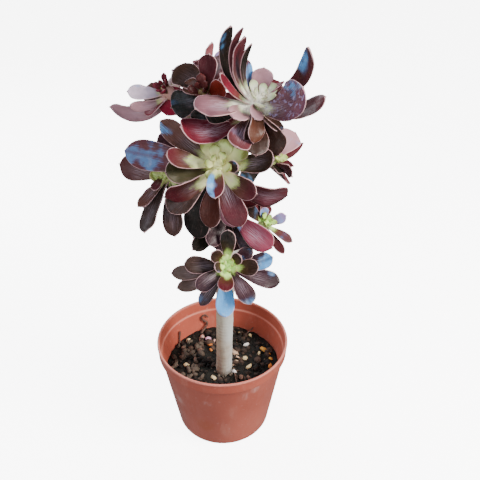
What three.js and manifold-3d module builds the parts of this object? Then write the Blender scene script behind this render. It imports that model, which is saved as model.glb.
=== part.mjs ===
// Potted aeonium: a tree-like succulent with dark, spoon-shaped leaves in a terracotta-coloured pot.
// Millimetres, +Z up. The origin is the middle of the pot's flat underside, and -Y is the front.
import * as THREE from "three";
import { mergeVertices } from "three/addons/utils/BufferGeometryUtils.js";
import Module from "manifold-3d";

const wasm = await Module();
wasm.setup();

// ---------- driving dimensions ----------
const GAP = 0.35; // clear space between pieces that touch on the real thing

const POT = {
  height: 95.5, rimRadius: 60, bandHeight: 12, neckRadius: 57.3, footRadius: 43.4,
  wall: 1.9, floor: 3, footRound: 2.4, lip: 1.1, ledge: 1.3, sides: 48,
};
const DRAIN = { count: 6, radius: 4, ring: 29, sides: 8 };
const SOIL = { top: 65, mound: 2.5, grain: 1.6, rings: 5, sides: 28, chips: 12, seed: 7 };
const STEM = { sides: 10, branchSides: 6, buried: 24, hole: 0.4 };

// ---------- helpers ----------
const DEG = Math.PI / 180;
const UP = new THREE.Vector3(0, 0, 1);
const vec = (x, y, z) => new THREE.Vector3(x, y, z);
const mix = (a, b, t) => a + (b - a) * t;

// A small seeded generator, so that every draw is the same each time.
function seeded(seed) {
  let state = seed;
  return () => {
    state = (state * 1664525 + 1013904223) % 4294967296;
    return state / 4294967296;
  };
}

// Closed three.js geometry -> manifold solid, with its shared vertices merged and slivers dropped.
function solid(geometry) {
  const g = geometry.index ? geometry.clone() : mergeVertices(geometry.clone());
  g.deleteAttribute("normal");
  g.deleteAttribute("uv");
  const m = mergeVertices(g, 1e-4);
  const index = m.index.array;
  const tris = [];
  for (let i = 0; i < index.length; i += 3) {
    const [a, b, c] = [index[i], index[i + 1], index[i + 2]];
    if (a !== b && b !== c && c !== a) tris.push(a, b, c);
  }
  return new wasm.Manifold(new wasm.Mesh({
    numProp: 3,
    vertProperties: new Float32Array(m.attributes.position.array),
    triVerts: new Uint32Array(tris),
  }));
}

function geometryOf(manifold) {
  const mesh = manifold.getMesh();
  const g = new THREE.BufferGeometry();
  g.setAttribute("position", new THREE.BufferAttribute(new Float32Array(mesh.vertProperties), 3));
  g.setIndex(new THREE.BufferAttribute(new Uint32Array(mesh.triVerts), 1));
  g.computeVertexNormals();
  return g;
}

// Skin a list of closed rings (equal point counts, in order) and cap both ends.
function skin(rings) {
  const n = rings[0].length;
  const points = rings.flat();
  const tris = [];
  for (let r = 0; r + 1 < rings.length; r++) {
    for (let i = 0; i < n; i++) {
      const a = r * n + i;
      const b = r * n + ((i + 1) % n);
      tris.push(a, b, b + n, a, b + n, a + n);
    }
  }
  const last = (rings.length - 1) * n;
  for (let i = 1; i + 1 < n; i++) {
    tris.push(0, i + 1, i);
    tris.push(last, last + i, last + i + 1);
  }
  const g = new THREE.BufferGeometry();
  g.setAttribute("position", new THREE.Float32BufferAttribute(points.flatMap((p) => [p.x, p.y, p.z]), 3));
  g.setIndex(signedVolume(points, tris) < 0 ? tris.reverse() : tris);
  return g;
}

function signedVolume(points, tris) {
  let total = 0;
  const cross = vec(0, 0, 0);
  for (let i = 0; i < tris.length; i += 3) {
    cross.crossVectors(points[tris[i + 1]], points[tris[i + 2]]);
    total += points[tris[i]].dot(cross);
  }
  return total;
}

// The biggest connected body: a scrap left loose by a cut is dropped.
function biggest(manifold) {
  const bodies = manifold.decompose();
  bodies.sort((a, b) => b.volume() - a.volume());
  return bodies[0];
}

// A lathe around +Z from (radius, height) points.
function turned(profile, sides) {
  const g = new THREE.LatheGeometry(profile.map(([r, z]) => new THREE.Vector2(r, z)), sides);
  g.rotateX(Math.PI / 2);
  return solid(g);
}

// ---------- pot ----------
const neckHeight = POT.height - POT.bandHeight;

function outerRadius(z) {
  return mix(POT.footRadius, POT.neckRadius, z / neckHeight);
}

function innerRadius(z) {
  return outerRadius(z) - POT.wall;
}

function makePot() {
  const { height: h, rimRadius: rim, floor, footRound: f, lip, ledge } = POT;
  const bandFoot = rim - 0.9;
  const bore = rim - 2.4;
  const profile = [
    [0, 0], [outerRadius(0) - f, 0], [outerRadius(0) - f * 0.35, f * 0.3], [outerRadius(f), f],
    [outerRadius(neckHeight), neckHeight], [bandFoot, neckHeight + 0.6], [rim - lip * 0.5, h - 3.2],
    [rim, h - lip], [rim - lip * 0.5, h], [bore + 0.4, h], [bore, h - lip],
    [bore - 0.6, neckHeight + ledge], [innerRadius(neckHeight) + 0.3, neckHeight - ledge],
    [innerRadius(floor), floor], [0, floor],
  ];
  let pot = turned(profile, POT.sides);
  for (let i = 0; i < DRAIN.count; i++) {
    const angle = ((i + 0.5) / DRAIN.count) * 2 * Math.PI;
    const hole = new THREE.CylinderGeometry(DRAIN.radius, DRAIN.radius, floor * 3, DRAIN.sides);
    hole.rotateX(Math.PI / 2);
    hole.translate(DRAIN.ring * Math.cos(angle), DRAIN.ring * Math.sin(angle), floor / 2);
    pot = pot.subtract(solid(hole));
  }
  return pot;
}

// ---------- stem: trunk and branches ----------
// Each branch is a list of [x, y, z, radius]. The last point of a branch to a rosette is worked out
// from the rosette, so that its flat end meets the rosette's core.
const TRUNK = [
  [0.5, -12.5, SOIL.top - STEM.buried, 5.6], [0.6, -12.5, 60, 7.2], [0.9, -12.5, 68, 7.4],
  [1.6, -12, 95, 7.3], [2.4, -11.5, 130, 7.6], [3.4, -9, 165, 7.8], [3.6, -5, 200, 7.6],
  [2, -1, 228, 7.0], [1, 1, 246, 6.2],
];
const BRANCHES = {
  top: [[2, -1, 226, 5.5], [10, 8, 258, 5.4], [20, 11, 288, 5.0]],
  crown: [[1, 1, 240, 5.2], [-2, 16, 266, 4.8], [-3, 26, 290, 4.6]],
  back: [[1, 1, 240, 4.6], [3, 22, 266, 4.2], [-2, 38, 292, 4.0]],
  left: [[-1, 12, 256, 4.4], [-14, 30, 276, 4.0], [-24, 41, 292, 4.0]],
  main: [[1, 1, 240, 5.4], [0.5, -2, 256, 5.2]],
  flank: [[2, -1, 222, 4.8], [-14, 5, 236, 4.4], [-26, 9, 246, 4.0]],
  hidden: [[3.6, -5, 208, 4.6], [5, -1, 219, 4.2]],
  low: [[3.4, -10, 165, 4.4], [4.5, -17, 178, 4.0]],
  side: [[3.6, -5, 184, 4.0], [16, 3, 195, 3.6], [24, 7, 203, 3.3]],
  right: [[4, 0, 224, 4.6], [18, 20, 236, 4.2], [27, 30, 246, 4.0]],
};

function tube(points, sides, grow = 0) {
  const curve = new THREE.CatmullRomCurve3(points.map(([x, y, z]) => vec(x, y, z)));
  const steps = (points.length - 1) * 2;
  const rings = [];
  for (let i = 0; i <= steps; i++) {
    const t = i / steps;
    const k = Math.min(Math.floor(t * (points.length - 1)), points.length - 2);
    const radius = mix(points[k][3], points[k + 1][3], t * (points.length - 1) - k) + grow;
    const along = curve.getTangent(t);
    const side = vec(0, 1, 0).cross(along).normalize();
    const front = along.clone().cross(side);
    const centre = curve.getPoint(t);
    if (grow && i === steps) centre.addScaledVector(along, grow);
    rings.push(Array.from({ length: sides }, (_, j) => {
      const a = (j / sides) * 2 * Math.PI;
      return centre.clone().addScaledVector(side, radius * Math.cos(a))
        .addScaledVector(front, radius * Math.sin(a));
    }));
  }
  return solid(skin(rings));
}

// ---------- leaves ----------
const LEAF = {
  neck: 0.3, widest: 0.75, cup: 0.26, baseThick: 3.2, tipThick: 1.6, tip: 0.9,
  stations: [0, 0.3, 0.56, 0.76, 0.91, 1], budStations: [0, 0.55, 1],
};
const GOLDEN = 137.508;

// Half of the outline: a narrow neck, widest at three quarters, a round end with a small point.
function leafWidth(s) {
  const { neck, widest } = LEAF;
  if (s < widest) return neck + (1 - neck) * Math.sin((Math.PI / 2) * (s / widest)) ** 1.9;
  return Math.max(0, 1 - ((s - widest) / (1 - widest)) ** 2.2) ** 0.6;
}

// One leaf of a rosette, as rings along its arched midrib. `grow` makes it thicker all round.
function leafSolid(head, leaf, stations, grow = 0) {
  const [azimuth, lift, length, width, bend = 0, roll = 0, sweep = 0] = leaf;
  const { axis, right, up, centre } = head.frame;
  const out = (angle) => right.clone().multiplyScalar(Math.cos(angle * DEG))
    .addScaledVector(up, Math.sin(angle * DEG));
  const point = centre.clone().addScaledVector(out(azimuth), 0.55 * head.core)
    .addScaledVector(axis, -head.depth * (1 - lift / 80));
  const rings = [];
  let last = 0;
  for (const s of stations) {
    const middle = (s + last) / 2;
    const climb = (lift + bend * middle) * DEG;
    const step = (s - last) * length;
    const radial = out(azimuth + sweep * middle);
    point.addScaledVector(radial, step * Math.cos(climb)).addScaledVector(axis, step * Math.sin(climb));
    last = s;
    const here = (lift + bend * s) * DEG;
    const outward = out(azimuth + sweep * s);
    const along = outward.clone().multiplyScalar(Math.cos(here)).addScaledVector(axis, Math.sin(here));
    const face = outward.clone().multiplyScalar(-Math.sin(here)).addScaledVector(axis, Math.cos(here));
    const side = axis.clone().cross(outward);
    side.applyAxisAngle(along, -roll * DEG);
    face.applyAxisAngle(along, -roll * DEG);
    if (s === 1) point.addScaledVector(along, 2 * grow);
    const half = Math.max((width / 2) * leafWidth(s), LEAF.tip) + 3 * grow;
    const thick = mix(LEAF.baseThick, LEAF.tipThick, s) / 2 + 2 * grow;
    const raise = LEAF.cup * half * Math.min(1, 3 * (1 - s));
    const at = (across, height) => point.clone().addScaledVector(side, across).addScaledVector(face, height);
    rings.push([at(half, raise), at(0, thick), at(-half, raise), at(0, -thick)]);
  }
  return solid(skin(rings));
}

// ---------- rosettes ----------
// place: the growing tip. lean: the way that the rosette faces. core, depth: its leafy stalk.
// leaves: [azimuth, lift, length, width, bend, roll, sweep], with azimuth round the axis from the
// right (0) to the top (90), and lift from the plane of the rosette towards its axis.
const HEADS = {
  top: {
    place: [30, -6, 327], lean: [0.22, -0.5, 0.84], core: 6, depth: 13, buds: 9,
    leaves: [
      [133, 11, 70, 11, 94, 8, -26], [143, 31, 70, 5, 76, 52, -9], [144, 33, 61, 12.5, 72, 8, -24],
      [137, 41, 53, 5, 64, 40, -1], [143, 30, 36.5, 10, 37, -6, -14], [169, 26, 41.5, 6.5, 35, 18, -17],
      [110, 36, 30, 9, 27, -4, -10], [67, 45, 22, 15.5, 20, -2, 2], [14, 35, 21.5, 9, 8, 49],
      [298, 29, 48.5, 27, 65, -43, 19], [356, 22, 68, 14.5, 101, -22, -16], [322, -2, 55, 14.5, 81, -2, 19],
      [182, 15, 51, 22, 6, -11, 6], [202, 20, 29, 15, 4, -1, 14], [234, 40, 20, 12, -35, 26, 8],
      [191, -34, 67, 22, 90, 2, -7], [225, -9, 48, 18, 50, 11, 5], [242, 32, 33.5, 13.5, -63, 28, 2],
      [270, -5, 36, 24, -8, -49, 16], [285, 2, 24.5, 13, 12, 18, 18], [36, 0, 34, 18, -10],
      [90, -38, 42, 19, 8],
      [246, 2, 37, 19, -10, 5, 6],
    ],
  },
  crown: {
    place: [-11.5, 14, 324], lean: [-0.35, -0.62, 0.7], core: 6, depth: 12, buds: 7,
    leaves: [
      [76, 31, 28, 25.5, -25, 16, 14], [144, 10, 31.5, 26.5, 19, -29, 30],
      [210, 11, 24.5, 22.5, 16, 13, 14], [184, -15, 43.5, 23, 22, 27, 9], [282, -6, 13, 25.5, -6, 19, 10],
      [23, 32, 18.5, 14, 5, -43, -4], [86, 35, 28, 16, 10], [130, -10, 34, 17], [64, -5, 32, 16],
      [163, 22, 17, 13, 4, -2, -4], [330, 22, 30, 24, -17, 16, -4],
    ],
  },
  back: {
    place: [-6.2, 54, 328], lean: [-0.05, 0.4, 0.92], core: 5, depth: 9, buds: 6,
    leaves: [
      [92, 74, 21.5, 9.5, -17, -27, 24], [56, 55, 14, 14, -9, -17, 5], [129, 42, 19, 6, 41, 17, 2],
      [150, 20, 28, 14], [190, 12, 32, 15], [228, 8, 34, 16], [269, 7, 36, 16], [309, 10, 34, 15],
      [345, 18, 28, 14], [250, 35, 26, 13], [290, 38, 24, 12],
    ],
  },
  left: {
    place: [-41, 34, 320.5], lean: [-0.55, -0.5, 0.67], core: 5, depth: 10, buds: 7,
    leaves: [
      [205, 10, 21, 17, 22, -3, -3], [220, 29, 30, 14, 31, 2, 3], [244, 9, 32.5, 8, 58, 63, -6],
      [229, -17, 61.5, 17.5, 48, 69, -42], [239, 5, 24, 13], [150, -10, 26, 14, -25], [110, 0, 28, 14, -25],
      [75, 0, 28, 14, -10], [175, -15, 32, 15, -10], [130, -5, 14, 10],
    ],
  },
  main: {
    place: [-0.6, -24, 284], lean: [-0.03, -0.78, 0.62], core: 6.5, depth: 13, buds: 8,
    leaves: [
      [146, 17, 50, 15.5, 6, 21, -4], [116, 38, 20, 13], [67, 40, 18, 12], [24, 36, 25, 12],
      [181, 32, 45.5, 14, 30, -9, -4], [224, 17, 42.5, 25, -25, 68, -28], [265, 69, 40.5, 12, -42, -1, 7],
      [287, 8, 44, 18, -16, -14, 9], [311, 19, 35, 16, 7, -35, 21], [359, 12, 46, 17, 49, 8, 3],
      [344, 51, 18, 8.5, -2, -32, 1], [171, -4, 69.5, 22.5, -3, 10, -5], [314, 3, 58.5, 23, -44, -61, 60],
      [214, -6, 46, 20, 7, 4, 19], [245, -10, 55, 23.5, -27, -20, 7], [257, -3, 42, 17.5, -10, -28, 12],
      [88, 12, 34, 17], [50, 5, 38, 18],
      [192, 19, 38, 18, 12, 2, 1], [291, -20, 43, 18, 1, 4, -14],
    ],
  },
  flank: {
    place: [-42.5, -6, 268], lean: [-0.38, -0.66, 0.65], core: 5, depth: 11, buds: 7,
    leaves: [
      [183, 15, 37.5, 20, 4, 31, -1], [254, 20, 31, 9, 3, 6, -4], [266, 56, 17, 7, -35, 15, 24],
      [265, 9, 46.5, 17, 13, -16, 17], [295, 0, 45, 16, 2, 4, 2], [350, 35, 30, 12], [229, 55, 11, 9],
      [106, 12, 34, 17], [227, -20, 36, 15],
    ],
  },
  hidden: {
    place: [7, -16, 238.5], lean: [0.05, -0.85, 0.52], core: 5, depth: 9, buds: 5,
    leaves: [
      [318, 24, 42, 20, -15, -25, -3], [291, 2, 37, 8.5, 11, -10, 8], [236, 13, 28.5, 14, 9, 21],
      [223, 3, 38, 15, 10, 30, 1], [150, 20, 24, 13], [95, 15, 24, 13], [30, 15, 26, 14],
      [267, -10, 29, 26, 2, -2],
    ],
  },
  low: {
    place: [5.4, -38, 203], lean: [0, -0.76, 0.65], core: 4.6, depth: 11, buds: 8,
    leaves: [
      [88, 28, 29, 12, 11, 10, 1], [141, 48, 19, 10], [34, 52, 15, 9], [353, 34, 25, 13], [191, 58, 15, 8],
      [177, 17, 32.5, 13.5, 1, 8, -2], [188, 0, 42.5, 12, -8, 13, -7], [206, -14, 42, 11.5, 4, 26, -12],
      [214, 32, 29.5, 13, -23, 6, 5], [229, -18, 36, 10.5, 2, -2, 7], [262, 46, 26, 12],
      [261, 1, 37.5, 14.5, 16, -5, 12], [301, 11, 33, 16, 11, 26, -3], [339, -2, 41, 14, -10, -2, 9],
      [0, 8, 34, 13.5, 5, 7, 22], [33, 20, 21, 11],
    ],
  },
  side: {
    place: [38, -4, 221.5], lean: [0.42, -0.62, 0.66], core: 4, depth: 8, buds: 7,
    leaves: [
      [355, 27, 17, 9.5, 9, -29, 4], [295, 26, 25, 8, -7, 3, 6], [274, 11, 28, 8, 18, -7, -5],
      [93, 40, 12, 9], [135, 30, 24, 11], [52, 0, 18, 11, -10], [75, -5, 22, 12, -10],
    ],
  },
  right: {
    place: [46, 24, 264.5], lean: [0.65, -0.45, 0.61], core: 5, depth: 10, buds: 6,
    leaves: [
      [16, 27, 35, 20, -17, 21, -6], [343, -4, 47, 6.5, 26, -26, 27], [297, -1, 25.5, 11, 0, 22],
      [288, 32, 19, 17, -11, 60, -22], [316, 31, 17, 11, 4, 25, -16], [263, 30, 12, 12],
      [35, 0, 30, 16, -10], [70, 5, 28, 16, -10], [105, 15, 24, 14],
      [173, -4, 44, 14, 23, 6, 17],
    ],
  },
};

// The young leaves in the middle follow the golden angle and close over the growing tip.
function budLeaves(head) {
  return Array.from({ length: head.buds }, (_, i) => {
    const size = head.core / 6;
    return [i * GOLDEN, 84 - 5 * i, (5.5 + 1.25 * i) * size, (3.4 + 0.6 * i) * size, -8, 0];
  });
}

function setFrame(head) {
  const axis = vec(...head.lean).normalize();
  const right = UP.clone().cross(axis).normalize();
  head.frame = { axis, right, up: axis.clone().cross(right), centre: vec(...head.place) };
}

function coreSolid(head, grow = 0) {
  const { core: r, depth: d } = head;
  const profile = [
    [0, -d - 4 - grow], [r * 0.8 + grow, -d - 4 - grow], [r + grow, -d], [r * 0.9 + grow, -d * 0.4],
    [r * 0.45 + grow, 0.5 + grow], [0, 1.5 + grow],
  ];
  const g = new THREE.LatheGeometry(profile.map(([x, y]) => new THREE.Vector2(x, y)), 10);
  g.applyQuaternion(new THREE.Quaternion().setFromUnitVectors(vec(0, 1, 0), head.frame.axis));
  g.translate(...head.frame.centre.toArray());
  return solid(g);
}

function rosette(head, grow = 0) {
  const leaves = head.leaves.map((leaf) => leafSolid(head, leaf, LEAF.stations, grow));
  const buds = budLeaves(head).map((leaf) => leafSolid(head, leaf, LEAF.budStations, grow));
  return wasm.Manifold.union([coreSolid(head, grow), ...leaves, ...buds]);
}

function stemSolid(grow = 0) {
  const pieces = [tube(TRUNK, STEM.sides, grow)];
  for (const [name, route] of Object.entries(BRANCHES)) {
    const { axis, centre } = HEADS[name].frame;
    const below = HEADS[name].depth + 4 + GAP;
    const end = centre.clone().addScaledVector(axis, -below);
    const before = centre.clone().addScaledVector(axis, -below - 5);
    const radius = HEADS[name].core * 0.8;
    const points = [...route, [...before.toArray(), radius], [...end.toArray(), radius]];
    pieces.push(tube(points, STEM.branchSides, grow));
  }
  return wasm.Manifold.union(pieces);
}

// ---------- soil ----------
function makeSoil() {
  const draw = seeded(SOIL.seed);
  const floor = POT.floor + GAP;
  const edge = (z) => innerRadius(z) - GAP;
  const height = (r, a) => SOIL.top + SOIL.mound * (1 - (r / edge(SOIL.top)) ** 2)
    + SOIL.grain * (Math.sin(a * 5 + r * 0.5) * 0.4 + Math.sin(a * 3 - r * 0.31) * 0.3);
  const ring = (radius, heightAt) => Array.from({ length: SOIL.sides }, (_, i) => {
    const a = (i / SOIL.sides) * 2 * Math.PI;
    return vec(radius * Math.cos(a), radius * Math.sin(a), heightAt(radius, a));
  });
  const rings = [ring(edge(floor), () => floor), ring(edge(SOIL.top - 3), () => SOIL.top - 3)];
  for (let i = SOIL.rings; i > 0; i--) {
    const t = i / SOIL.rings;
    rings.push(ring(edge(SOIL.top) * t, (r, a) => height(r, a) + (draw() - 0.5) * SOIL.grain * Math.sqrt(t)));
  }
  let soil = solid(skin(rings));
  const chips = [];
  for (let i = 0; i < SOIL.chips; i++) {
    const r = edge(SOIL.top) * Math.sqrt(0.05 + 0.75 * draw());
    const a = draw() * 2 * Math.PI;
    const chip = new THREE.BoxGeometry(mix(5, 11, draw()), mix(3, 6, draw()), mix(2.5, 4, draw()));
    chip.rotateX((draw() - 0.5) * 0.9);
    chip.rotateY((draw() - 0.5) * 0.9);
    chip.rotateZ(draw() * Math.PI);
    chip.translate(r * Math.cos(a), r * Math.sin(a), height(r, a) + 0.4);
    chips.push(solid(chip));
  }
  soil = wasm.Manifold.union([soil, ...chips]);
  return biggest(soil.subtract(tube(TRUNK, STEM.sides, STEM.hole)));
}

// ---------- assembly ----------
const plastic = new THREE.MeshStandardMaterial({ color: 0xb4634f, roughness: 0.55, metalness: 0 });
const earth = new THREE.MeshStandardMaterial({ color: 0x2b211b, roughness: 0.95, metalness: 0 });
const bark = new THREE.MeshStandardMaterial({ color: 0xb5aa99, roughness: 0.85, metalness: 0 });
const leafSkin = new THREE.MeshStandardMaterial({ color: 0x5b2b31, roughness: 0.35, metalness: 0 });

const plant = new THREE.Group();

function place(parent, name, manifold, material) {
  const mesh = new THREE.Mesh(geometryOf(manifold), material);
  mesh.name = name;
  parent.add(mesh);
}

place(plant, "pot", makePot(), plastic);
place(plant, "soil", makeSoil(), earth);
for (const head of Object.values(HEADS)) setFrame(head);
place(plant, "stem", stemSolid(), bark);

// Each rosette is cut clear of the stem and of the rosettes made before it.
let taken = stemSolid(GAP);
for (const [name, head] of Object.entries(HEADS)) {
  const body = biggest(rosette(head).subtract(taken));
  place(plant, `rosette_${name}`, body, leafSkin);
  taken = wasm.Manifold.union([taken, rosette(head, GAP), body]);
}

export default plant;
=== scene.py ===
# %% [markdown]
# # A potted aeonium
# A tree aeonium is a woody stem with rosettes of spoon-shaped leaves at its tips. The dark leaves are
# glossy, go lime and cream where they meet in the middle, and carry a thin pale margin. This notebook
# dresses a plain model of one in a terracotta-coloured nursery pot. It loads the plain model first,
# because every piece made here has to sit exactly where that model says.

# %% Load the frame
import math
import random

import bmesh
import bpy
from mathutils import Matrix, Vector, noise


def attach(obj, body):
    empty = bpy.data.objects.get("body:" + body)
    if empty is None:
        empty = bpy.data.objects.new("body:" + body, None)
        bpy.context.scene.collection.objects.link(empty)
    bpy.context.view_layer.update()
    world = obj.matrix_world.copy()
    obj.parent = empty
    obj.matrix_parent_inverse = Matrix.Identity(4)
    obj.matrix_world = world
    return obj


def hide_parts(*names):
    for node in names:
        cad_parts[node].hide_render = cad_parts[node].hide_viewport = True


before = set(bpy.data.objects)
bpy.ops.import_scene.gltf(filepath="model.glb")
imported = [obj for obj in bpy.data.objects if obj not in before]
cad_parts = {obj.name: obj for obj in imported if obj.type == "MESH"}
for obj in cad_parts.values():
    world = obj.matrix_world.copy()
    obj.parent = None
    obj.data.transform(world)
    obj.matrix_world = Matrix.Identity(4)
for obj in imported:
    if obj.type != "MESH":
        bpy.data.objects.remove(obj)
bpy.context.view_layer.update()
MM = 0.001
print("plain model:", len(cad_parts), "nodes")

# %% [markdown]
# ## Sizes
# The sizes are the plant's own, in millimetres. The pot is a 12 cm nursery pot, and everything else was
# measured against it. Only a few numbers drive each piece; the rest is worked out from them.

# %% Driving sizes
POT_HEIGHT = 95.5
RIM_RADIUS = 60.0
BAND_HEIGHT = 12.0
NECK_RADIUS = 57.3
FOOT_RADIUS = 43.4
POT_WALL = 1.9
POT_FLOOR = 3.0
NECK_HEIGHT = POT_HEIGHT - BAND_HEIGHT
SOIL_TOP = 65.0
SOIL_MOUND = 2.5
CORE_DROP = 4.0
GAP = 0.35


def pot_outer(z):
    return FOOT_RADIUS + (NECK_RADIUS - FOOT_RADIUS) * z / NECK_HEIGHT


def pot_inner(z):
    return pot_outer(z) - POT_WALL


print("pot mouth", 2 * RIM_RADIUS, "mm, soil", POT_HEIGHT - SOIL_TOP, "mm below the rim")

# %% [markdown]
# ## Camera, floor and light
# The camera looks down on the pot at about 33 degrees, from where the photograph was taken. It was
# placed by matching the ellipse of the rim, the step below it and the rounded base. The light is a
# plain soft studio: a bright even surround, a large key light from the right, and a wide, slightly
# blue light above and in front, which the glossy leaves mirror as sky, and softer ones low in front
# and behind.

# %% Camera
CAMERA_PLACE = (0.0, -0.431, 0.4811)
CAMERA_PITCH = 32.9
CAMERA_TURN = -2.15
FOCAL_PIXELS = 620.0
PICTURE_PIXELS = 480.0
SENSOR = 36.0

camera = bpy.data.objects.new("camera", bpy.data.cameras.new("camera"))
bpy.context.scene.collection.objects.link(camera)
camera.location = CAMERA_PLACE
camera.rotation_euler = (math.radians(90 - CAMERA_PITCH), 0.0, math.radians(CAMERA_TURN))
camera.data.sensor_width = SENSOR
camera.data.lens = FOCAL_PIXELS / PICTURE_PIXELS * SENSOR
bpy.context.scene.camera = camera
print("lens", round(camera.data.lens, 1), "mm")

# %% Floor and surround
FLOOR_FLAT = 2.2
SWEEP_RADIUS = 2.0
SWEEP_STEPS = 16
FLOOR_GLOW = 7.0
SURROUND = 0.32


def srgb(red, green, blue):
    """An 8-bit screen colour as the linear colour that Blender's sockets want."""
    def linear(c):
        c /= 255.0
        return c / 12.92 if c <= 0.04045 else ((c + 0.055) / 1.055) ** 2.4
    return (linear(red), linear(green), linear(blue), 1.0)


def new_mesh(name, bm):
    mesh = bpy.data.meshes.new(name)
    bm.to_mesh(mesh)
    bm.free()
    mesh.polygons.foreach_set("use_smooth", [True] * len(mesh.polygons))
    piece = bpy.data.objects.new(name, mesh)
    bpy.context.scene.collection.objects.link(piece)
    return piece


bm = bmesh.new()
bmesh.ops.create_circle(bm, cap_ends=True, segments=96, radius=FLOOR_FLAT)
outline = [e for e in bm.edges if len(e.link_faces) == 1]
for i in range(SWEEP_STEPS):
    grown = bmesh.ops.extrude_edge_only(bm, edges=outline)["geom"]
    outline = [g for g in grown if isinstance(g, bmesh.types.BMEdge)]
    turn = (i + 1) / SWEEP_STEPS * math.pi / 2
    for v in (g for g in grown if isinstance(g, bmesh.types.BMVert)):
        v.co = v.co.xy.normalized().to_3d() * (FLOOR_FLAT + SWEEP_RADIUS * math.sin(turn))
        v.co.z = SWEEP_RADIUS * (1 - math.cos(turn))
floor = new_mesh("floor", bm)
floor_material = bpy.data.materials.new("pale_floor")
floor_material.use_nodes = True
floor_shader = floor_material.node_tree.nodes["Principled BSDF"]
floor_shader.inputs["Base Color"].default_value = srgb(250, 250, 250)
floor_shader.inputs["Roughness"].default_value = 0.9
floor_shader.inputs["Emission Color"].default_value = srgb(255, 255, 255)
floor_shader.inputs["Emission Strength"].default_value = FLOOR_GLOW
floor.data.materials.append(floor_material)
floor.visible_diffuse = False
floor.visible_glossy = False
floor.visible_shadow = False

world = bpy.data.worlds.new("studio")
bpy.context.scene.world = world
world.use_nodes = True
world.node_tree.nodes["Background"].inputs["Color"].default_value = srgb(250, 251, 255)
world.node_tree.nodes["Background"].inputs["Strength"].default_value = SURROUND

# %% Lights


def area_light(name, place, aim, size, power, colour):
    data = bpy.data.lights.new(name, "AREA")
    data.shape = "RECTANGLE"
    data.size, data.size_y = size
    data.energy = power
    data.color = colour[:3]
    lamp = bpy.data.objects.new(name, data)
    lamp.location = place
    lamp.rotation_euler = (Vector(aim) - Vector(place)).to_track_quat("-Z", "Y").to_euler()
    bpy.context.scene.collection.objects.link(lamp)
    return lamp


PLANT_MIDDLE = (0.0, 0.0, 0.22)
POT_MIDDLE = (0.0, 0.0, 0.05)
area_light("key", (0.85, -0.4, 0.85), PLANT_MIDDLE, (0.45, 0.45), 28.0, srgb(255, 248, 240))
area_light("sky", (-0.18, -0.72, 1.0), PLANT_MIDDLE, (0.5, 0.35), 3.6, srgb(216, 230, 255))
area_light("front", (-0.45, -1.0, 0.3), POT_MIDDLE, (0.8, 0.8), 5.5, srgb(252, 250, 250))
area_light("back", (-0.5, 0.7, 0.75), PLANT_MIDDLE, (0.5, 0.5), 9.0, srgb(244, 248, 255))

# %% [markdown]
# ## Material helpers
# Every finish is a Principled shader fed by noise in object space, so a finish keeps its scale on any
# piece. A few short helpers keep the node wiring readable: one adds a node, others mix two colours, do
# a sum, or lay a shade over what is there.

# %% Node helpers


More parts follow.
